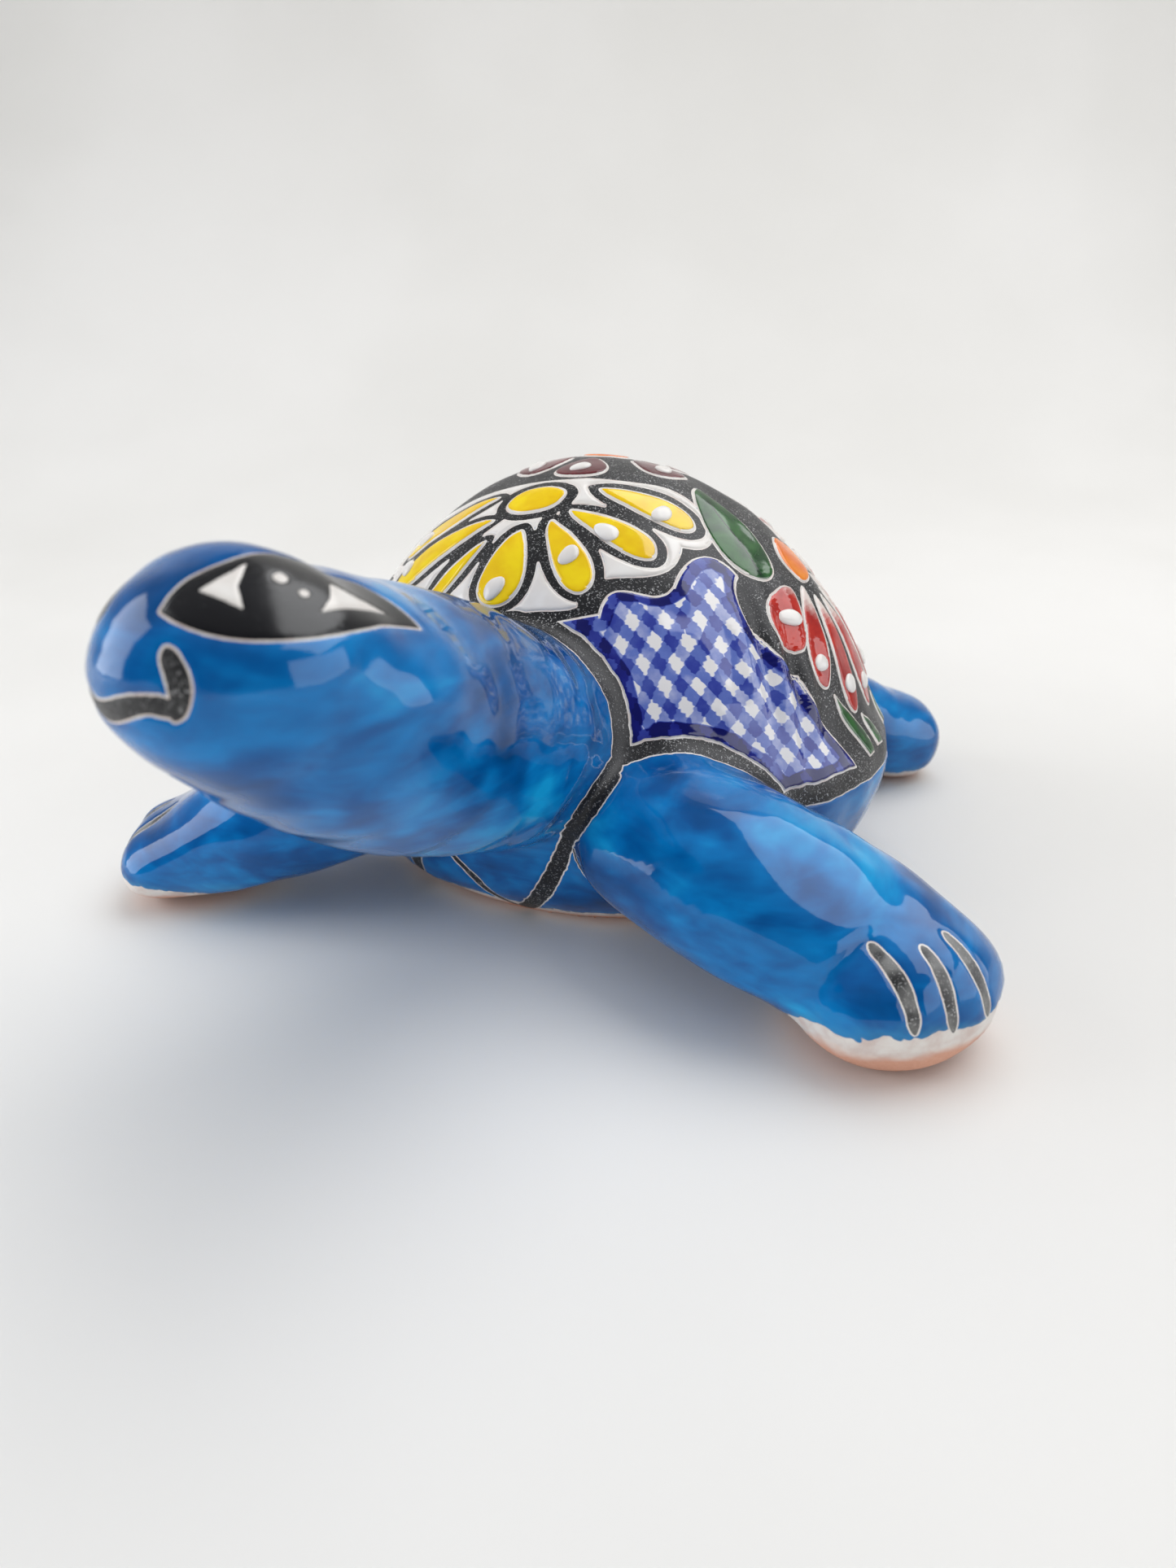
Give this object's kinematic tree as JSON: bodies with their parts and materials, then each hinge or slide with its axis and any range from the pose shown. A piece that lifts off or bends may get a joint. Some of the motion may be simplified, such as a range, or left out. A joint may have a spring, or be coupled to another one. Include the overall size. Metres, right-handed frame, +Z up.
{
  "type": "painted ceramic sea turtle figure",
  "caption": "Hollow ceramic sea turtle with raised head, spread flippers and a domed shell decorated with raised glaze flowers, leaves and lattice panels.",
  "frame": {"origin": "on the table plane, under the centre of the shell", "axes": "+Z up, -Y towards the head, +X towards the turtle's left side"},
  "size_m": [0.2108, 0.234, 0.1041],
  "materials": {
    "black_line": "matte, slightly grainy unglazed oxide line and clay ground",
    "turquoise_glaze": "glossy translucent blue glaze with turquoise mottling",
    "white_glaze": "glossy opaque white glaze",
    "yellow_glaze": "glossy opaque yellow glaze",
    "red_glaze": "glossy red glaze, paler towards the flower heart",
    "maroon_glaze": "glossy maroon glaze",
    "orange_glaze": "glossy orange glaze",
    "green_glaze": "glossy dark green glaze",
    "cobalt_glaze": "glossy cobalt brush lattice over white",
    "eye_black_glaze": "semi-gloss black glaze"
  },
  "bodies": {
    "root": {"carapace": "black_line", "plastron": "turquoise_glaze", "head_and_neck": "turquoise_glaze", "front_left_flipper": "turquoise_glaze", "front_right_flipper": "turquoise_glaze", "rear_left_flipper": "turquoise_glaze", "rear_right_flipper": "turquoise_glaze", "tail": "turquoise_glaze", "front_flower_petals": "yellow_glaze", "front_flower_heart": "yellow_glaze", "front_flower_ground": "white_glaze", "rear_flower_petals": "yellow_glaze", "rear_flower_heart": "yellow_glaze", "rear_flower_ground": "white_glaze", "crown_flower_petals": "maroon_glaze", "crown_flower_heart": "orange_glaze", "left_flower_petals": "red_glaze", "left_flower_heart": "orange_glaze", "right_flower_petals": "red_glaze", "right_flower_heart": "orange_glaze", "petal_dots": "white_glaze", "green_leaves": "green_glaze", "front_left_lattice": "cobalt_glaze", "front_right_lattice": "cobalt_glaze", "rear_left_lattice": "cobalt_glaze", "rear_right_lattice": "cobalt_glaze", "left_eye_patch": "eye_black_glaze", "right_eye_patch": "eye_black_glaze", "left_eye_white": "white_glaze", "right_eye_white": "white_glaze", "smile_line": "black_line", "toe_lines": "black_line"}
  },
  "joints": []
}
